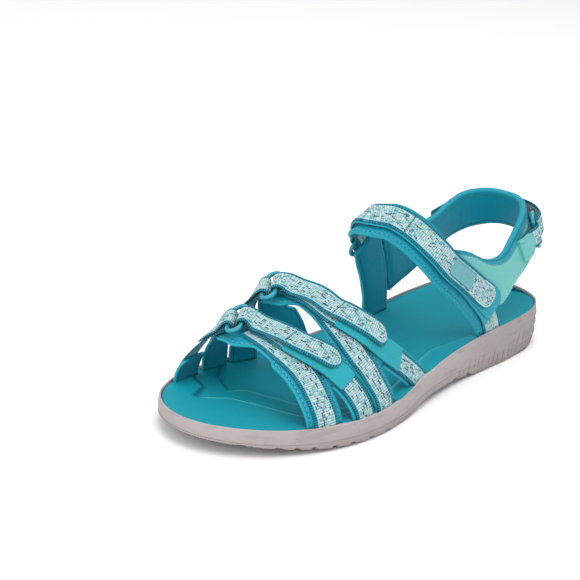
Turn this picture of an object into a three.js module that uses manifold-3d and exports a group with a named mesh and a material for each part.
// Strappy sport sandal, left foot. Millimetres, +Z up, +X towards the toe, +Y lateral.
// The origin is the centre of the bounding box in plan, on the ground plane.
// While building, x runs from the back of the heel; the group is moved to its origin at the end.
// Straps are laid in layers over a foot form, an implicit surface described by the tables below.
import * as THREE from 'three';
import * as BGU from 'three/addons/utils/BufferGeometryUtils.js';
import Module from 'manifold-3d';

// ---------- driving dimensions ----------
const SOLE_LENGTH = 266;
const PLAN_WIDTH_FACTOR = 1.05; // on the outline tables
const WEB_HALF = 12.6 / 2;      // half the forefoot webbing width
const ANKLE_HALF = 15 / 2;      // half the ankle webbing width
const HEEL_HALF = 6;            // half the heel webbing width
const WEB_T = 1.0;              // thicknesses
const LINING_T = 1.6;
const PAD_T = 2.3;              // ankle and collar padding
const PANEL_T = 1.0;            // quarter panels
const LOOP_T = 0.6;             // loop patches
const HOOK_T = 0.8;             // hook patches
const ANKLE_TAB_T = 0.9;        // each of the two layers of the ankle tab
const GAP = 0.3;                // clearance between stacked layers
const ROD_RADIUS = 1.1;         // adjuster ring rod
const LOOP_RADIUS = 1.75;       // inside radius of a webbing loop round a ring bar
const BAR_HALF = 3.6;           // half the distance between the two ring bars
const RING_MARGIN = 0.9;        // straight part of a ring bar beyond each webbing edge
const ANCHOR = 5.5;             // how far a strap end runs below the sole rim
const RIM_WIDTH = 1.9;          // thickness of the midsole rim
const EDGE_INSET = 1.6;         // target distance from a strap's outer face to the outline at the rim
const MAX_LEAN = 3;
const LEAN_HEIGHT = 15;         // height over the rim at which the lean starts
const STATION_STEP = 4.2;       // station spacing along a strap
const FLAT_START = 4.5;         // up to this distance from a ring a strap lies flat,
const FLAT_END = 11;            // and from this distance it follows the foot again

// ---------- materials ----------
const MATERIALS = {
  sole: { color: 0x9c9189, roughness: .85 },
  footbed: { color: 0x0f8f9d, roughness: .75 },
  lining: { color: 0x16a3b8, roughness: .6 },
  webbing: { color: 0x8fc4bf, roughness: .85 },
  tealPatch: { color: 0x2fb3b0, roughness: .6 },
  blackPatch: { color: 0x15181b, roughness: .9 },
  panel: { color: 0x6ccfc0, roughness: .55 },
  ring: { color: 0x1aa0ac, roughness: .35 },
  shank: { color: 0x3a3d40, roughness: .5 },
  shockPad: { color: 0x54b9a6, roughness: .7 },
  board: { color: 0xc9b48d, roughness: .9 },
  label: { color: 0x3aa6a4, roughness: .7 },
};

// ---------- numbers and vectors ----------
const lerp = (a, b, t) => a + (b - a) * t;
const clamp = (x, low, high) => Math.min(high, Math.max(low, x));
const smooth = (from, to, x) => {
  const t = clamp((x - from) / (to - from), 0, 1);
  return t * t * (3 - 2 * t);
};
const valueAt = (value, ...where) => typeof value === 'function' ? value(...where) : value;
const add = (a, b) => [a[0] + b[0], a[1] + b[1], a[2] + b[2]];
const sub = (a, b) => [a[0] - b[0], a[1] - b[1], a[2] - b[2]];
const scale = (a, k) => [a[0] * k, a[1] * k, a[2] * k];
const move = (a, direction, k) => add(a, scale(direction, k));
const mix = (a, b, t) => [lerp(a[0], b[0], t), lerp(a[1], b[1], t), lerp(a[2], b[2], t)];
const dot = (a, b) => a[0] * b[0] + a[1] * b[1] + a[2] * b[2];
const cross = (a, b) =>
  [a[1] * b[2] - a[2] * b[1], a[2] * b[0] - a[0] * b[2], a[0] * b[1] - a[1] * b[0]];
const unit = a => {
  const length = Math.hypot(...a);
  return a.map(v => v / length);
};
const distance = (a, b) => Math.hypot(...sub(a, b));
const splineThrough = (points, closed = false) => new THREE.CatmullRomCurve3(
  points.map(point => new THREE.Vector3(...point)), closed, 'centripetal');

// monotone cubic through one column of a table whose first column is the abscissa
function curveThrough(table, column = 1) {
  const xs = table.map(row => row[0]), ys = table.map(row => row[column]);
  const last = xs.length - 1, width = [], slope = [];
  for (let i = 0; i < last; i++) {
    width.push(xs[i + 1] - xs[i]);
    slope.push((ys[i + 1] - ys[i]) / width[i]);
  }
  const tangent = new Array(last + 1).fill(0);
  for (let i = 1; i < last; i++) {
    if (slope[i - 1] * slope[i] <= 0) continue;
    const before = 2 * width[i] + width[i - 1], after = width[i] + 2 * width[i - 1];
    tangent[i] = (before + after) / (before / slope[i - 1] + after / slope[i]);
  }
  tangent[0] = slope[0];
  tangent[last] = slope[last - 1];
  return x => {
    x = clamp(x, xs[0], xs[last]);
    let i = 0;
    while (i < last - 1 && x > xs[i + 1]) i++;
    const t = (x - xs[i]) / width[i], t2 = t * t, t3 = t2 * t;
    return (2 * t3 - 3 * t2 + 1) * ys[i] + (t3 - 2 * t2 + t) * width[i] * tangent[i]
      + (-2 * t3 + 3 * t2) * ys[i + 1] + (t3 - t2) * width[i] * tangent[i + 1];
  };
}

// ---------- plan outline and sole heights ----------
// [x from the heel, y], before the width factor
const LATERAL_EDGE = [
  [0,0],[3,13],[10,23.5],[25,31],[50,34],[80,35],[110,37.5],[140,42.5],[165,47.5],
  [185,49.5],[205,48],[225,42.5],[243,33],[256,21],[264,8],[266,-4],
];
const MEDIAL_EDGE = [
  [0,0],[3,-13],[10,-23.5],[25,-31],[50,-33],[80,-31.5],[110,-30],[140,-33],[165,-39.5],
  [185,-44.5],[205,-46.5],[225,-44.5],[243,-38],[256,-28],[264,-15],[266,-4],
];
// closed fine outline, from the heel along the lateral side to the toe and back
const outline = splineThrough(
  [...LATERAL_EDGE, ...MEDIAL_EDGE.slice(1, -1).reverse()]
    .map(([x, y]) => [x, y * PLAN_WIDTH_FACTOR, 0]), true,
).getPoints(400).slice(0, -1).map(point => [point.x, point.y]);

// [fraction of the sole length, z]
const alongSole = table => curveThrough(table.map(([part, z]) => [part * SOLE_LENGTH, z]));
const rimZ = alongSole([[0,24],[.15,22.6],[.30,21.4],[.5,17.6],[.68,12.4],[.85,13],[1,15.2]]);
const groundZ = alongSole([
  [0,3],[.05,1],[.15,0],[.27,0],[.38,2.6],[.5,3.6],[.60,0],[.7,0],[.8,.9],[.9,3.8],[1,7.4],
]);

// ---------- foot form ----------
// [x, lateral half width, medial half width, top z, crest y, bottom z]
const FOOT = [
  [0,25.5,25.5,150,0,17], [20,26.5,26.5,150,0,17], [40,28.5,27.5,150,0,16],
  [60,30,28,140,-1,15], [80,31,27,122,-2,14], [100,32,26,99,-4,13], [120,34,26,84,-8,11],
  [140,37,28,75,-11,9], [160,41,33,67,-13,8], [180,44,38,58,-14,8], [200,45,42,48,-14,8],
  [220,41,41,40,-13,10], [240,31,36,34,-12,12], [262,12,22,26,-8,16],
];
const [lateralWidth, medialWidth, topZ, crestY, bottomZ] =
  [1, 2, 3, 4, 5].map(column => curveThrough(FOOT, column));
// [z, x of the back of the heel]
const heelBackX = curveThrough(
  [[0,10],[20,6.5],[40,5.5],[55,7],[70,11],[85,14],[100,16],[120,17]]);
const PLAN_EXPONENT = 2.1, TOP_EXPONENT = 1.9, HEEL_RADIUS = 27;
const ANKLE_NARROWING = 0.10;

// zero on the foot surface, positive outside
function form(x, y, z) {
  const crest = crestY(x);
  const narrowing = 1 - ANKLE_NARROWING * smooth(45, 78, z) * (1 - smooth(45, 75, x));
  const width = (y > crest ? lateralWidth(x) - crest : medialWidth(x) + crest) * narrowing;
  const across = Math.abs(y - crest) / width;
  const back = Math.max(0, (heelBackX(z) + HEEL_RADIUS - x) / HEEL_RADIUS);
  const up = Math.max(0, (z - bottomZ(x)) / (topZ(x) - bottomZ(x)));
  return across ** PLAN_EXPONENT + back ** PLAN_EXPONENT + up ** TOP_EXPONENT - 1;
}
function gradient([x, y, z]) {
  const e = 0.25;
  return [
    (form(x + e, y, z) - form(x - e, y, z)) / (2 * e),
    (form(x, y + e, z) - form(x, y - e, z)) / (2 * e),
    (form(x, y, z + e) - form(x, y, z - e)) / (2 * e),
  ];
}
// nearby point on the foot surface, with its outward normal
function snap(point) {
  for (let i = 0; i < 10; i++) {
    const slope = gradient(point);
    point = move(point, slope, -form(...point) / dot(slope, slope));
  }
  return { point, normal: unit(gradient(point)) };
}

// ---------- strap centrelines ----------
// [x, y, z] near the foot form, medial end first; the heel strap starts on the lateral side
const CENTRELINES = {
  // medial toe side, ring, lateral heel side
  toeStrap: [
    [224,-44,6],[224,-43,15],[224,-39,25],[222,-35,32],[219,-27,40],[214.5,-18.5,47],
    [212.5,-9,48],[212.5,3,48],[212,17,45],[208,29,41],[202.5,37,35],[198,42.5,27],
    [195.6,46,19],[194.2,48,11],[194,48,3],
  ],
  toeCross: [
    [199.4,-45,5],[199.8,-45,14],[203,-43,23.5],[205.5,-39,31],[208,-33,38.5],[211,-25,43],
    [213,-17,46],[215,-7,46],[216,3,44.5],[217,13,42],[217,21,39],[217,28,35],
    [217.5,35,29.5],[218,40,23],[218,43.5,17],[218,45,10.5],[218,45,4],
  ],
  instepStrap: [
    [182.5,-42,4],[183.2,-42,12],[186,-41,26],[188.5,-39,35.5],[190.5,-33,43],[190,-26,51],
    [188,-18.5,56],[186,-12,60],[186,4,61],[185.5,17.5,56],[182,27,52],[175,36,45.5],
    [168,40,38.5],[156,41,27.5],[145,41.5,17],[139.5,41.5,10.5],[138,41,4],
  ],
  instepCross: [
    [149,-33,4],[151,-33.5,12],[155,-35,20],[161,-36,29],[167,-35.5,35.5],[173.5,-34,42],
    [179,-31,49],[181.5,-26,54],[182,-18,57],[182,-9,58.5],[182.5,-2,57.5],[184,11,54],
    [185.5,20,49.5],[186,28.5,44],[185.5,36,38],[182.5,41,30.5],[180,44.5,22],
    [178.2,46.5,14],[177.7,47,8],[177.5,47,3],
  ],
  ankle: [
    [85.5,-27,8],[86,-27,14],[88,-28,24],[91,-28,35],[95,-28,45],[99,-27,53],[103.5,-27,60],
    [108,-27.5,67],[113,-26.5,72],[117.5,-24.5,77],[122,-20,83],[125,-13,87],[125,-6,88.5],
    [122.5,2,89.5],[120,11,86.5],[116,19.5,80.5],[112,26,74.5],[104.5,32,64.5],[94.5,35,56],
    [83.5,36,45],[75,36,36.5],[70,35,28],[67,33.5,20],[66,33,12],[66,33,8],
  ],
  // lateral wing, ring, round the heel to the medial wing
  heel: [
    [40,30,59],[33,29,62],[27,27,64.5],[21,25,66.5],[15,20,69],[10.5,13,71],[8.5,5,72],
    [8.5,-4,72],[10.5,-13,71.5],[16,-20.5,70],[24,-25,68],[34,-27,66],[46,-28,63],
  ],
};
const PATH_SEGMENTS = 240, SMOOTHING_ROUNDS = 6;

// a centreline on the form; "arc" everywhere means a distance along it
function buildPath(controls) {
  const curve = splineThrough(controls);
  let points = [];
  for (let i = 0; i <= PATH_SEGMENTS; i++) {
    points.push(snap(curve.getPoint(i / PATH_SEGMENTS).toArray()).point);
  }
  for (let round = 0; round < SMOOTHING_ROUNDS; round++) {
    points = points.map((point, i) => {
      if (i === 0 || i === PATH_SEGMENTS) return point;
      const neighbours = add(points[i - 1], points[i + 1]);
      return snap(scale(add(neighbours, scale(point, 2)), .25)).point;
    });
  }
  const arcs = [0];
  for (let i = 1; i <= PATH_SEGMENTS; i++) {
    arcs.push(arcs[i - 1] + distance(points[i], points[i - 1]));
  }
  // first and last places that are no more than ANCHOR below the rim
  const clear = ([x, , z]) => z >= rimZ(x) - ANCHOR;
  const rimArcs = [arcs[points.findIndex(clear)], arcs[points.findLastIndex(clear)]];
  return { points, arcs, rimArcs, length: arcs[PATH_SEGMENTS] };
}
const paths = Object.fromEntries(
  Object.entries(CENTRELINES).map(([name, controls]) => [name, buildPath(controls)]));

// side = normal x tangent: it points to the heel, and upwards on the heel strap
function frameAt({ points, arcs }, arc) {
  let i = 0;
  while (i < PATH_SEGMENTS - 1 && arc > arcs[i + 1]) i++;
  const t = (arc - arcs[i]) / (arcs[i + 1] - arcs[i]);
  const { point, normal } = snap(mix(points[i], points[i + 1], t));
  const chord = unit(sub(points[Math.min(PATH_SEGMENTS, i + 3)], points[Math.max(0, i - 2)]));
  const tangent = unit(move(chord, normal, -dot(chord, normal)));
  return { point, normal, tangent, side: unit(cross(normal, tangent)) };
}
function nearestArc(path, target) {
  let best = Infinity, arc = 0;
  path.points.forEach((point, i) => {
    const reach = distance(point, target);
    if (reach < best) {
      best = reach;
      arc = path.arcs[i];
    }
  });
  return arc;
}

// how far each end of a strap leans out so that it meets the rim
function setLean(path, stackThickness) {
  path.thickness = stackThickness;
  path.lean = path.rimArcs.map((arc, end) => {
    const [x, y] = frameAt(path, arc + (end ? -ANCHOR : ANCHOR)).point;
    const toEdge = Math.min(...outline.map(q => Math.hypot(q[0] - x, q[1] - y)));
    return clamp(toEdge - stackThickness - EDGE_INSET, 0, MAX_LEAN);
  });
}
function leanAt(path, arc, [x, , z]) {
  if (!path.lean) return 0;
  return path.lean[arc < path.length / 2 ? 0 : 1] * (1 - smooth(-1, LEAN_HEIGHT, z - rimZ(x)));
}
for (const name of ['toeStrap', 'toeCross', 'instepStrap', 'instepCross']) {
  setLean(paths[name], LINING_T + GAP + WEB_T);
}
setLean(paths.ankle, PAD_T + GAP + WEB_T);

// ---------- solids ----------
// indexed geometry with its faces turned outwards
function solid(points, index) {
  let volume = 0;
  for (let k = 0; k < index.length; k += 3) {
    volume += dot(points[index[k]], cross(points[index[k + 1]], points[index[k + 2]]));
  }
  if (volume < 0) {
    for (let k = 0; k < index.length; k += 3) {
      [index[k + 1], index[k + 2]] = [index[k + 2], index[k + 1]];
    }
  }
  const geometry = new THREE.BufferGeometry();
  geometry.setAttribute('position', new THREE.Float32BufferAttribute(points.flat(), 3));
  geometry.setIndex(index);
  return geometry;
}
// closed slab from rows of { low, high }, the points of its two faces
function slab(rows) {
  const n = rows.length, m = rows[0].low.length, index = [];
  const low = (i, j) => i * m + j, high = (i, j) => (n + i) * m + j;
  const quad = (a, b, c, d) => index.push(a, b, c, a, c, d);
  for (let i = 0; i < n - 1; i++) {
    for (let j = 0; j < m - 1; j++) {
      quad(low(i, j), low(i, j + 1), low(i + 1, j + 1), low(i + 1, j));
      quad(high(i, j), high(i + 1, j), high(i + 1, j + 1), high(i, j + 1));
    }
  }
  for (let i = 0; i < n - 1; i++) {
    quad(low(i, 0), low(i + 1, 0), high(i + 1, 0), high(i, 0));
    quad(low(i, m - 1), high(i, m - 1), high(i + 1, m - 1), low(i + 1, m - 1));
  }
  for (let j = 0; j < m - 1; j++) {
    quad(low(0, j), high(0, j), high(0, j + 1), low(0, j + 1));
    quad(low(n - 1, j), low(n - 1, j + 1), high(n - 1, j + 1), high(n - 1, j));
  }
  return solid([...rows.flatMap(row => row.low), ...rows.flatMap(row => row.high)], index);
}

const wasm = await Module();
wasm.setup();
function toManifold(geometry) {
  const bare = geometry.clone();
  bare.deleteAttribute('normal');
  bare.deleteAttribute('uv');
  const merged = BGU.mergeVertices(bare, 1e-4);
  return new wasm.Manifold(new wasm.Mesh({
    numProp: 3,
    vertProperties: new Float32Array(merged.attributes.position.array),
    triVerts: new Uint32Array(merged.index.array),
  }));
}
function fromManifold(manifold) {
  const mesh = manifold.getMesh(), geometry = new THREE.BufferGeometry();
  geometry.setAttribute('position', new THREE.Float32BufferAttribute(mesh.vertProperties, 3));
  geometry.setIndex(Array.from(mesh.triVerts));
  return geometry;
}

const group = new THREE.Group();
group.name = 'sandal';
function put(name, geometry, material) {
  const mesh = new THREE.Mesh(geometry, new THREE.MeshStandardMaterial(MATERIALS[material]));
  mesh.name = name;
  group.add(mesh);
}

// ---------- laying straps ----------
// stations fall on one grid along each path, so stacked layers have parallel facets
function stationArcs(from, to) {
  const first = Math.min(from, to), last = Math.max(from, to), margin = .9, arcs = [first];
  for (let k = Math.ceil((first + margin) / STATION_STEP); k * STATION_STEP < last - margin; k++) {
    arcs.push(k * STATION_STEP);
  }
  arcs.push(last);
  return to < from ? arcs.reverse() : arcs;
}
// rows of a strap over the form. Height and the widths before (front) and after (rear) the
// centreline along the side vector may be functions of arc.
function layRows(path, from, to, options) {
  const { height, thickness = WEB_T, half, front = half, rear = half } = options;
  const { columns = 2, flat = true } = options, { ring } = path;
  return stationArcs(from, to).map(arc => {
    const frame = frameAt(path, arc), rise = valueAt(height, arc);
    const flatness = ring && flat
      ? 1 - smooth(FLAT_START, FLAT_END, Math.abs(arc - ring.arc)) : 0;
    const row = { low: [], high: [] };
    for (let j = 0; j <= columns; j++) {
      const across = lerp(-valueAt(front, arc), valueAt(rear, arc), j / columns);
      const { point, normal } = snap(move(frame.point, frame.side, across));
      const lean = leanAt(path, arc, point);
      let low = move(point, normal, rise + lean);
      let high = move(point, normal, rise + thickness + lean);
      if (flatness > 0) {
        const base = move(move(ring.centre, ring.tangent, arc - ring.arc), ring.side, across);
        low = mix(low, move(base, ring.normal, rise - ring.height), flatness);
        high = mix(high, move(base, ring.normal, rise + thickness - ring.height), flatness);
      }
      row.low.push(low);
      row.high.push(high);
    }
    return row;
  });
}
const layStrap = (...args) => slab(layRows(...args));
const flip = ({ low, high }) => ({ low: high, high: low });

// lining of a strap that enters the sole; its slot in the sole is cut later
const slots = [];
function addLining(name, path, from, to, options, slotWidths = options) {
  put(name, layStrap(path, from, to, { height: 0, ...options }), 'lining');
  slots.push({ path, ends: [from, to], front: slotWidths.front, rear: slotWidths.rear });
}
// width function that rounds a strap off towards its end; blunt keeps the tip from closing
const roundTip = (half, end, length, blunt) => arc =>
  half * Math.sqrt(Math.max(blunt, 1 - Math.max(0, (arc - (end - length)) / (length + .6)) ** 2));
// widths moved sideways towards the heel
const skewed = (width, shift) => ({
  front: arc => valueAt(width, arc) - shift(arc),
  rear: arc => valueAt(width, arc) + shift(arc),
});

// ---------- adjuster rings ----------
// height is that of the webbing's lower face where it passes under the ring
function setRing(path, target, height) {
  const arc = nearestArc(path, target), frame = frameAt(path, arc);
  const centre = move(frame.point, frame.normal, height);
  const barCentre = move(centre, frame.normal, WEB_T + LOOP_RADIUS);
  path.ring = {
    ...frame, arc, height, centre,
    startBar: move(barCentre, frame.tangent, -BAR_HALF),
    endBar: move(barCentre, frame.tangent, BAR_HALF),
    overBar: height + WEB_T + 2 * LOOP_RADIUS,          // height of a leg lying over a bar
    clearArc: arc + BAR_HALF + LOOP_RADIUS + WEB_T,     // first arc clear of the tab's fold
  };
  return path.ring;
}
function addRing(name, ring, webHalf) {
  const rodSides = 6, endSegments = 7, half = webHalf + RING_MARGIN;
  const middle = mix(ring.startBar, ring.endBar, .5), centres = [], points = [], index = [];
  const place = (u, v) => centres.push(move(move(middle, ring.side, u), ring.tangent, v));
  for (const end of [1, -1]) {
    for (let i = 0; i <= endSegments; i++) {
      const angle = -end * Math.PI / 2 + Math.PI * i / endSegments;
      place(end * half + BAR_HALF * Math.cos(angle), BAR_HALF * Math.sin(angle));
    }
    place(0, end * BAR_HALF);
  }
  const n = centres.length;
  for (let i = 0; i < n; i++) {
    const along = unit(sub(centres[(i + 1) % n], centres[(i + n - 1) % n]));
    const outward = unit(cross(along, ring.normal)), next = (i + 1) % n;
    for (let j = 0; j < rodSides; j++) {
      const angle = 2 * Math.PI * (j + .5) / rodSides;
      const offset = move(centres[i], outward, ROD_RADIUS * Math.cos(angle));
      points.push(move(offset, ring.normal, ROD_RADIUS * Math.sin(angle)));
      const a = i * rodSides + j, b = i * rodSides + (j + 1) % rodSides;
      const c = next * rodSides + (j + 1) % rodSides, d = next * rodSides + j;
      index.push(a, b, c, a, c, d);
    }
  }
  put(name, solid(points, index), 'ring');
}
// webbing rows round a bar up to its top (180 degrees; 0 is under the bar);
// direction is +1 when the loop bulges along the tangent
function aroundBar(ring, bar, direction, fromDegrees, half, segments) {
  const columns = 2, rows = [];
  for (let i = 0; i <= segments; i++) {
    const angle = THREE.MathUtils.degToRad(lerp(fromDegrees, 180, i / segments));
    const radial = move(
      scale(ring.normal, -Math.cos(angle)), ring.tangent, direction * Math.sin(angle));
    const row = { low: [], high: [] };
    for (let j = 0; j <= columns; j++) {
      const centre = move(bar, ring.side, lerp(-half, half, j / columns));
      row.low.push(move(centre, radial, LOOP_RADIUS + WEB_T));
      row.high.push(move(centre, radial, LOOP_RADIUS));
    }
    rows.push(row);
  }
  return rows;
}
// anchor webbing: under the start bar, round it and back over itself by topLeg
function addFoldedWebbing(name, path, start, { half, height, topLeg, rise = 12 }) {
  const { ring } = path, barArc = ring.arc - BAR_HALF;
  const topHeight = arc => lerp(valueAt(height, arc) + WEB_T + GAP, ring.overBar,
    smooth(-rise, -BAR_HALF, arc - ring.arc));
  put(name, slab([
    ...layRows(path, start, barArc, { height, half }),
    ...aroundBar(ring, ring.startBar, 1, 0, half, 5).slice(1, -1),
    ...layRows(path, barArc, barArc - topLeg, { height: topHeight, half }).map(flip),
  ]), 'webbing');
}
// pull tab: starts round the end bar and runs on over the strap to its tip
function addTab(name, path, half, tip, options, material) {
  const { ring } = path;
  put(name, slab([
    ...aroundBar(ring, ring.endBar, -1, 98, half, 4).slice(0, -1),
    ...layRows(path, ring.arc + BAR_HALF, tip, options).map(flip),
  ]), material);
}

// ---------- toe and instep straps ----------
const TRIM = 1.0;                      // lining beyond the webbing edge in a narrow zone
const FLARE = 3.6;                     // and in the wide zone near the sole
const MEDIAL_SHOULDER = 26, ANCHOR_SHOULDER = 34; // distance from the sole to the narrow zone
const shoulder = (centre, x) => smooth(centre - 3, centre + 3, x);
const anchorWidth = fromSole =>
  lerp(WEB_HALF + FLARE, WEB_HALF + TRIM, shoulder(ANCHOR_SHOULDER, fromSole));

// [x, y, z] entries mark places along a strap; the other numbers are distances in mm
const STRAP_SETS = {
  toe: {
    ringAt: [214.5,-18.5,47],
    lobeAt: [213,-15,46], lobeWidth: 6.5,  // extra lining on the front edge under the ring
    lateralShoulder: 44,
    crossFront: (fromMedial, fromLateral, width) => width,
    crossRear: (fromMedial, width) => fromMedial < 40 ? WEB_HALF + .7 : width,
    lateralWebEnd: [214.8,-9,46.3], medialWebEnd: [208,-33,38.5],
    anchorFront: anchorWidth,
    anchorLiningEnd: [223.6,-39.3,25], topLeg: 16,
    liningStart: [200.5,39.5,32], liningFront: 1.4, liningRear: .5, // margins on the webbing
    drop: [47, 58],                        // where the strap comes down onto its lining
    tabEnd: [203,36,36], patchEnd: [198.5,41.5,29],
    skew: [1.8, 4.2],                      // the tab's shift towards the heel
  },
  instep: {
    ringAt: [188,-18.5,56],
    lobeAt: [182,-16,57], lobeWidth: 6,
    lateralShoulder: 46,
    crossFront: (fromMedial, fromLateral, width) => Math.min(width,
      lerp(WEB_HALF + .5, WEB_HALF + FLARE, smooth(20, 36, fromLateral))),
    crossRear: (fromMedial, width) => width,
    lateralWebEnd: [182,-9,58.4], medialWebEnd: [178,-33.5,46.5],
    anchorFront: fromSole => lerp(WEB_HALF + .7, WEB_HALF + 3.2, smooth(16, 32, fromSole)),
    anchorLiningEnd: [188,-38,36.5], topLeg: 14,
    liningStart: [165,40,36.5], liningFront: 2, liningRear: 2,
    drop: [53, 65],
    tabEnd: [169,39.5,39.5], patchEnd: [158,41,29.5],
    skew: [2.4, 4.2],
  },
};

// cross strap: one lining under the ring, webbing on each side of it
function addCrossStrap(key, path, design) {
  const [start, end] = path.rimArcs, lobeArc = nearestArc(path, design.lobeAt);
  const width = arc => lerp(WEB_HALF + TRIM, WEB_HALF + FLARE, Math.max(
    1 - shoulder(MEDIAL_SHOULDER, arc - start),
    1 - shoulder(design.lateralShoulder, end - arc)));
  const lobe = offset => design.lobeWidth * smooth(-17, -5, offset) * (1 - smooth(5, 17, offset));
  addLining(`${key}_cross_lining`, path, start, end, {
    thickness: LINING_T, columns: 3,
    front: arc => design.crossFront(arc - start, end - arc, width(arc)) + lobe(arc - lobeArc),
    rear: arc => design.crossRear(arc - start, width(arc)),
  });
  const webs = [['lateral', end, design.lateralWebEnd], ['medial', start, design.medialWebEnd]];
  for (const [side, from, target] of webs) {
    put(`${key}_cross_webbing_${side}`, layStrap(path, from, nearestArc(path, target),
      { height: LINING_T + GAP, half: WEB_HALF }), 'webbing');
  }
}
// medial strap, folded round the ring's start bar
function addAnchorStrap(key, path, design) {
  const [start] = path.rimArcs, { ring } = path;
  addLining(`${key}_anchor_lining`, path, start, nearestArc(path, design.anchorLiningEnd), {
    thickness: LINING_T,
    front: arc => design.anchorFront(arc - start), rear: arc => anchorWidth(arc - start),
  });
  addFoldedWebbing(`${key}_anchor_webbing`, path, start, {
    half: WEB_HALF, topLeg: design.topLeg,
    height: arc => lerp(LINING_T + GAP, ring.height, smooth(-22, -7, arc - ring.arc)),
  });
}
// lateral strap with its patches and pull tab
function addPullStrap(key, path, design) {
  const { ring } = path, end = path.rimArcs[1];
  addLining(`${key}_strap_lining`, path, nearestArc(path, design.liningStart), end, {
    thickness: LINING_T, columns: 3, flat: false,
    front: WEB_HALF + design.liningFront, rear: WEB_HALF + design.liningRear,
  });
  const webHeight = arc =>
    lerp(ring.height, LINING_T + GAP, smooth(...design.drop, arc - ring.arc));
  put(`${key}_strap_webbing`,
    layStrap(path, ring.clearArc, end, { height: webHeight, half: WEB_HALF }), 'webbing');

  const tip = nearestArc(path, design.tabEnd);
  const loopHeight = arc => webHeight(arc) + WEB_T + GAP;
  put(`${key}_loop_patch`, layStrap(path, tip - 24, nearestArc(path, design.patchEnd),
    { height: loopHeight, thickness: LOOP_T, half: WEB_HALF }), 'tealPatch');

  const hookHeight = arc => loopHeight(arc) + LOOP_T + GAP;
  const [nearSkew, farSkew] = design.skew;
  const shift = arc => nearSkew * smooth(4, 30, arc - ring.arc)
    + (farSkew - nearSkew) * smooth(22, 64, arc - ring.arc);
  put(`${key}_tab_hook_patch`, layStrap(path, tip - 22, tip - 2.5,
    { height: hookHeight, thickness: HOOK_T, ...skewed(WEB_HALF - 1, shift) }), 'tealPatch');

  const tabHeight = arc => {
    const onStrap = webHeight(arc) + WEB_T + .5, onHook = hookHeight(arc) + HOOK_T + GAP;
    return lerp(ring.overBar, lerp(onStrap, onHook, smooth(tip - 34, tip - 22, arc)),
      smooth(BAR_HALF, 14, arc - ring.arc));
  };
  addTab(`${key}_tab_webbing`, path, WEB_HALF, tip,
    { height: tabHeight, ...skewed(roundTip(WEB_HALF, tip, 5, .12), shift) }, 'webbing');
}
for (const [key, design] of Object.entries(STRAP_SETS)) {
  const path = paths[`${key}Strap`];
  setRing(path, design.ringAt, LINING_T + 2 * GAP + WEB_T);
  addCrossStrap(key, paths[`${key}Cross`], design);
  addAnchorStrap(key, path, design);
  addPullStrap(key, path, design);
  addRing(`${key}_ring`, path.ring, WEB_HALF);
}

// ---------- ankle strap ----------
function addAnkleStrap() {
  const path = paths.ankle, half = ANKLE_HALF, [start, end] = path.rimArcs;
  const arcNear = point => nearestArc(path, point);
  const ring = setRing(path, [107.5,-27.5,66.5], PAD_T + GAP);

  // the padding is wide behind the webbing until it meets the quarter panel
  const quarterArc = arcNear([106,31,67]), padStart = arcNear([119,-23.5,79]);
  const rear = arc => lerp(half + 3.4, half + .2, smooth(-12, -3, arc - quarterArc));
  const corner = arc => Math.min(1, .55 + .45 * smooth(-1, 6, arc - padStart));
  addLining('ankle_strap_lining', path, padStart, end, {
    thickness: PAD_T, columns: 3, flat: false,
    front: arc => (half + 5.6) * corner(arc), rear: arc => rear(arc) * corner(arc),
  }, { front: half + 5.6, rear: half + .4 });
  put('ankle_strap_webbing',
    layStrap(path, ring.clearArc, end, { height: ring.height, half }), 'webbing');

  const tip = arcNear([71,35.5,30.5]), webTip = tip - 8;
  const loopHeight = ring.height + WEB_T + GAP;
  put('ankle_loop_patch', layStrap(path, tip - 52, tip + 1,
    { height: loopHeight, thickness: LOOP_T, half }), 'tealPatch');

  // the backing carries the fold round the bar; the webbing is sewn on it
  const tabHeight = arc => lerp(ring.overBar,
    lerp(loopHeight, loopHeight + LOOP_T + GAP, smooth(tip - 66, tip - 54, arc)),
    smooth(BAR_HALF, 16, arc - ring.arc));
  const shift = arc => 4 * smooth(84, 122, arc - ring.arc);
  addTab('ankle_tab_backing', path, half, tip, {
    height: tabHeight, thickness: ANKLE_TAB_T,
    ...skewed(roundTip(half + .7, tip, 7, .15), shift),
  }, 'lining');
  put('ankle_tab_webbing', layStrap(path, ring.arc + BAR_HALF + 2, webTip, {
    height: arc => tabHeight(arc) + ANKLE_TAB_T + GAP, thickness: ANKLE_TAB_T,
    ...skewed(roundTip(half, webTip, 6, .15), shift),
  }), 'webbing');
  const labelStart = arcNear([98,34,58.5]) - 9;
  put('ankle_tab_label', layStrap(path, labelStart, labelStart + 17, {
    height: arc => tabHeight(arc) + 2 * (ANKLE_TAB_T + GAP), thickness: .5,
    ...skewed(5.2, shift),
  }), 'label');
  addRing('ankle_ring', ring, half);

  addLining('ankle_anchor_lining', path, start, arcNear([110,-27,69]), {
    thickness: PAD_T, columns: 3, flat: false, front: half + 6.2, rear: half + .4,
  }, { front: half + 6.2, rear: half + .5 });
  addFoldedWebbing('ankle_anchor_webbing', path, start,
    { half, height: ring.height, topLeg: 10 });
}
addAnkleStrap();

// ---------- padded collar and quarter panels ----------
const REAR_OFFSET = ANKLE_HALF + 1.4;   // the quarters start behind the ankle webbing
const BINDING = 5.0;                    // width of the collar binding
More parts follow.
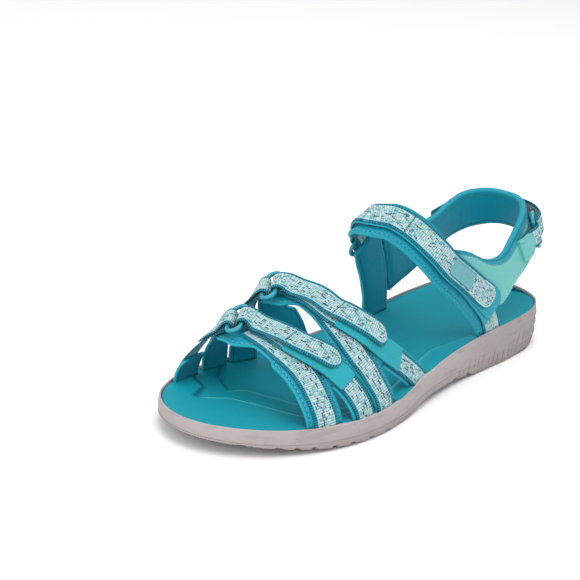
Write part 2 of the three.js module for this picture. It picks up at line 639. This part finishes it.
// end ribs, on the lateral and medial sides, beside the ankle webbing
const END_RIBS = [
  { upper: [106,31,67], lower: [71,35.5,30], offset: REAR_OFFSET },
  { upper: [105,-27,62.5], lower: [88.5,-28,27], offset: REAR_OFFSET + .5 },
].map(({ upper, lower, offset }) => {
  const upperArc = nearestArc(paths.ankle, upper), lowerArc = nearestArc(paths.ankle, lower);
  const pointAt = v => {
    const frame = frameAt(paths.ankle, lerp(lowerArc, upperArc, v));
    return snap(move(frame.point, frame.side, offset)).point;
  };
  const bottom = pointAt(0), top = pointAt(1);
  // bend takes a point of the straight rib onto the ankle webbing's edge
  const bend = v => sub(pointAt(clamp(v, 0, 1)), mix(bottom, top, v));
  return { ends: [top, bottom], bend };
});
// [upper point, lower point] of each rib, from the lateral side round the heel
const RIBS = [
  END_RIBS[0].ends,
  [[88,30.5,68],[58,33.5,33]], [[76,30.5,62],[52,32.5,36]], [[64,31,59.5],[46,32,41]],
  [[54,30.5,61],[39,31,45]], [[45,29.5,67],[32,30.5,48.5]], [[35,27,74],[25,28,52.5]],
  [[25,23.5,79],[18,23.5,56]], [[17,17,81],[12.5,16.5,58.5]], [[12.5,9,82],[9,8.5,60.5]],
  [[11,0,82],[8,0,61]], [[12.5,-9,82],[9,-8.5,60.5]], [[17,-17,81],[12.5,-16.5,58.5]],
  [[25,-23,78.5],[18,-23,56]], [[35,-26,73],[26,-26.5,52]], [[46,-27.5,67],[36,-27.5,47]],
  [[58,-28,64.5],[48,-28,41]], [[72,-27.5,66],[62,-28,35]], [[86,-26.5,70],[74,-27.5,31.5]],
  END_RIBS[1].ends,
];
const LAST_RIB = RIBS.length - 1;
const [upperCurve, lowerCurve] =
  [0, 1].map(edge => splineThrough(RIBS.map(rib => snap(rib[edge]).point)));

// slab between two rib numbers; bottom and top are margins in mm from the lower and upper
// edges, which may be functions of rib number and rib length
function collarSlab({ from, to, bottom = 0, top = 0, height, thickness, steps, columns = 3 }) {
  const rows = [];
  for (let i = 0; i <= steps; i++) {
    const rib = lerp(from, to, i / steps);
    const upper = upperCurve.getPoint(rib / LAST_RIB).toArray();
    const lower = lowerCurve.getPoint(rib / LAST_RIB).toArray();
    const length = distance(upper, lower), row = { low: [], high: [] };
    const first = valueAt(bottom, rib, length) / length;
    const last = 1 - valueAt(top, rib, length) / length;
    for (let j = 0; j <= columns; j++) {
      const v = lerp(first, last, j / columns);
      let raw = mix(lower, upper, v);
      raw = move(raw, END_RIBS[0].bend(v), 1 - smooth(.3, 2.2, rib));
      raw = move(raw, END_RIBS[1].bend(v), smooth(LAST_RIB - 2.2, LAST_RIB - .3, rib));
      const { point, normal } = snap(raw);
      row.low.push(move(point, normal, height));
      row.high.push(move(point, normal, height + thickness));
    }
    rows.push(row);
  }
  return slab(rows);
}
// taper grows from 0 to 1 where the panel narrows towards the back of the heel
function addQuarterPanel(side, from, to, steps, taper) {
  put(`quarter_panel_${side}`, collarSlab({
    from, to, steps, height: PAD_T + GAP, thickness: PANEL_T,
    bottom: (rib, length) => lerp(.3, length * .22, taper(rib)),
    top: (rib, length) => BINDING + .4 + length * .2 * taper(rib),
  }), 'panel');
}
put('collar_lining',
  collarSlab({ from: 0, to: LAST_RIB, height: 0, thickness: PAD_T, steps: 44 }), 'lining');
put('collar_binding', collarSlab({
  from: .15, to: LAST_RIB - .15, bottom: (rib, length) => length - BINDING,
  height: PAD_T + GAP, thickness: .8, steps: 44, columns: 1,
}), 'lining');
addQuarterPanel('lateral', .05, 7.7, 20, rib => smooth(6, 7.7, rib));
addQuarterPanel('medial', 12.4, LAST_RIB - .05, 18, rib => 1 - smooth(12.4, 14, rib));

// ---------- heel strap ----------
function addHeelStrap() {
  const path = paths.heel, half = HEEL_HALF;
  const ring = setRing(path, [21.5,25,66.5], PAD_T + 2 * GAP + PANEL_T), { height } = ring;
  addFoldedWebbing('heel_ring_webbing', path, ring.arc - BAR_HALF - 11,
    { half, height, topLeg: 7, rise: 11 });
  addRing('heel_ring', ring, half);
  put('heel_strap_webbing',
    layStrap(path, ring.clearArc, path.length - 2, { height, half }), 'webbing');

  const tip = ring.arc + 52, loopHeight = height + WEB_T + GAP;
  put('heel_loop_patch', layStrap(path, ring.arc + 16, tip + 2,
    { height: loopHeight, thickness: LOOP_T, half: half - .6 }), 'blackPatch');
  const hookHeight = loopHeight + GAP + LOOP_T;
  put('heel_tab_hook_patch', layStrap(path, ring.arc + 24, tip - 2,
    { height: hookHeight, thickness: HOOK_T, half: half - .8 }), 'blackPatch');

  // the tab bows up by a further 1.6 just past the ring
  const tabHeight = arc => {
    const past = arc - ring.arc;
    return lerp(ring.overBar, hookHeight + HOOK_T + GAP, smooth(9, 24, past))
      + 1.6 * smooth(BAR_HALF, 8, past) * (1 - smooth(10, 22, past));
  };
  addTab('heel_tab_webbing', path, half, tip,
    { height: tabHeight, half: roundTip(half, tip, 5, .12) }, 'webbing');
}
addHeelStrap();

// ---------- sole ----------
// x positions of the sole's cross-sections
const SOLE_X = [
  0,1.2,4,9,16,26,40,56,72,86,100,116,133,146,160,173,186,198,210,222,233,243,251,257.5,
  262,264.8,266,
];
// [x, z] and [x, depth]
const outsoleTop = curveThrough([
  [0,7.5],[40,6],[80,6],[110,7.2],[133,7.2],[160,4.4],[186,4],[205,4.4],[230,5.4],
  [255,7.4],[266,8.6],
]);
const dishDepth = curveThrough(
  [[0,3.2],[30,3.6],[70,3],[110,2.2],[150,1.6],[190,1.2],[230,1],[266,.6]]);
const floorZ = x => rimZ(x) - 6.6;      // floor of the midsole cup
const BOARD_T = 1.0;

// the outline moved in: its x range, and its y limits at x
function insetOutline(amount) {
  const n = outline.length;
  const points = outline.map(([x, y], i) => {
    const before = outline[(i + n - 2) % n], after = outline[(i + 2) % n];
    const dx = after[0] - before[0], dy = after[1] - before[1], length = Math.hypot(dx, dy);
    return [x + dy / length * amount, y - dx / length * amount];
  });
  const xs = points.map(point => point[0]);
  const limits = x => {
    const crossings = [];
    points.forEach((a, i) => {
      const b = points[(i + 1) % n];
      if ((a[0] - x) * (b[0] - x) <= 0 && a[0] !== b[0]) {
        crossings.push(a[1] + (b[1] - a[1]) * (x - a[0]) / (b[0] - a[0]));
      }
    });
    return [Math.min(...crossings), Math.max(...crossings)];
  };
  return { start: Math.min(...xs), end: Math.max(...xs), limits };
}
// sole layer; bottom and top give z from x and edge, 0 on the middle line and 1 at the sides
function soleLayer({ inset, bottom, top, columns = 2, from = -Infinity, to = Infinity }) {
  const { start, end, limits } = insetOutline(inset);
  const first = Math.max(start, from) + .8, last = Math.min(end, to) - .8;
  const xs = [
    Math.max(start + .25, from),
    ...SOLE_X.filter(x => x > first && x < last),
    Math.min(end - .25, to),
  ];
  return slab(xs.map(x => {
    const [medial, lateral] = limits(x), row = { low: [], high: [] };
    for (let j = 0; j <= columns; j++) {
      const y = lerp(medial, lateral, j / columns), edge = Math.abs(2 * j / columns - 1);
      row.low.push([x, y, bottom(x, edge)]);
      row.high.push([x, y, top(x, edge)]);
    }
    return row;
  }));
}

// transverse tread grooves: [x, turn about z in radians]
const GROOVES = [
  [14,0],[26,0],[90,0],[104,0],[192,.12],[204,.12],[216,.12],[228,.12],[240,.12],[250,.12],
];
const GROOVE_CUTTER = { width: 2.2, length: 130, height: 4 };
function addOutsole() {
  let outsole = toManifold(soleLayer({ inset: 0, bottom: groundZ, top: outsoleTop }));
  const { width, length, height } = GROOVE_CUTTER;
  for (const [x, turn] of GROOVES) {
    const depth = Math.min(1.9, (outsoleTop(x) - groundZ(x)) * .45);
    const cutter = new THREE.BoxGeometry(width, length, height);
    cutter.rotateZ(turn);
    cutter.translate(x, 0, groundZ(x) - height / 2 + depth);
    outsole = outsole.subtract(toManifold(cutter));
  }
  put('outsole', fromManifold(outsole), 'sole');
}
addOutsole();

// pieces let into the underside of the midsole; inset is that of their pockets
const INSERTS = [
  { name: 'shank', material: 'shank', inset: 19, from: 84, to: 156, thickness: 1.4 },
  { name: 'heel_shock_pad', material: 'shockPad', inset: 14, from: 20, to: 60, thickness: 4.6 },
];
const POCKET_CLEARANCE = .4;
const insertBottom = x => outsoleTop(x) + GAP + .2;

// midsole cup with a recess for the footbed above and pockets below
function cutMidsole() {
  let midsole = toManifold(
    soleLayer({ inset: 0, bottom: x => outsoleTop(x) + GAP, top: rimZ }));
  midsole = midsole.subtract(toManifold(
    soleLayer({ inset: RIM_WIDTH, bottom: floorZ, top: x => rimZ(x) + 10 })));
  for (const { inset, from, to, thickness } of INSERTS) {
    midsole = midsole.subtract(toManifold(soleLayer({
      inset, from: from - POCKET_CLEARANCE, to: to + POCKET_CLEARANCE,
      bottom: x => outsoleTop(x) - 1,
      top: x => insertBottom(x) + thickness + POCKET_CLEARANCE,
    })));
  }
  return midsole;
}
for (const { name, material, inset, from, to, thickness } of INSERTS) {
  put(name, soleLayer({
    inset: inset + POCKET_CLEARANCE, from, to,
    bottom: insertBottom, top: x => insertBottom(x) + thickness,
  }), material);
}
put('insole_board', soleLayer({
  inset: 10.5, bottom: x => floorZ(x) + GAP, top: x => floorZ(x) + GAP + BOARD_T,
}), 'board');

// cutter for a strap end, reaching a little past it and up above the rim
function slotCutter({ path, front, rear }, end, direction) {
  const step = 3.4, steps = 5, columns = 3;
  const clearance = { side: .5, face: .35, end: .6 }, rows = [];
  for (let i = -1; i <= steps; i++) {
    const arc = end + direction * Math.max(0, i) * step, frame = frameAt(path, arc);
    const row = { low: [], high: [] };
    for (let j = 0; j <= columns; j++) {
      const across = lerp(-valueAt(front, arc) - clearance.side,
        valueAt(rear, arc) + clearance.side, j / columns);
      let { point, normal } = snap(move(frame.point, frame.side, across));
      if (i < 0) point = move(point, frame.tangent, -direction * clearance.end);
      const lean = leanAt(path, arc, point);
      row.low.push(move(point, normal, lean - clearance.face));
      row.high.push(move(point, normal, lean + path.thickness + clearance.face));
    }
    rows.push(row);
  }
  return toManifold(slab(rows));
}
// footbed dished between raised edges; it and the midsole are cut where straps go down
function addFootbedAndMidsole() {
  let midsole = cutMidsole();
  let footbed = toManifold(soleLayer({
    inset: RIM_WIDTH + GAP, columns: 6,
    bottom: x => floorZ(x) + 2 * GAP + BOARD_T,
    top: (x, edge) => rimZ(x) - 1.0 - dishDepth(x) * (1 - edge * edge),
  }));
  for (const slot of slots) {
    const [from, to] = slot.ends;
    for (const [end, other] of [[from, to], [to, from]]) {
      const [x, , z] = frameAt(slot.path, end).point;
      if (z > rimZ(x)) continue;
      const cutter = slotCutter(slot, end, Math.sign(other - end));
      footbed = footbed.subtract(cutter);
      midsole = midsole.subtract(cutter);
    }
  }
  put('footbed', fromManifold(footbed), 'footbed');
  put('midsole', fromManifold(midsole), 'sole');
}
addFootbedAndMidsole();

// ---------- origin and pivots ----------
const bounds = new THREE.Box3().setFromObject(group);
group.position.set(
  -(bounds.min.x + bounds.max.x) / 2, -(bounds.min.y + bounds.max.y) / 2, -bounds.min.z);
group.updateMatrixWorld(true);

// pivots of the adjuster rings and tabs: a positive turn lifts the piece off the foot
const rounded = (vector, digits) => vector.map(v => +v.toFixed(digits));
const placed = point => rounded(add(point, group.position.toArray()), 3);
group.userData.pivots = {};
for (const [key, name] of Object.entries(
  { toe: 'toeStrap', instep: 'instepStrap', ankle: 'ankle', heel: 'heel' })) {
  const { ring } = paths[name];
  group.userData.pivots[key] = {
    ring: placed(ring.startBar),
    tab: placed(ring.endBar),
    axis: rounded(scale(ring.side, -1), 5),
    normal: rounded(ring.normal, 5),
    along: rounded(ring.tangent, 5),
  };
}
export default group;
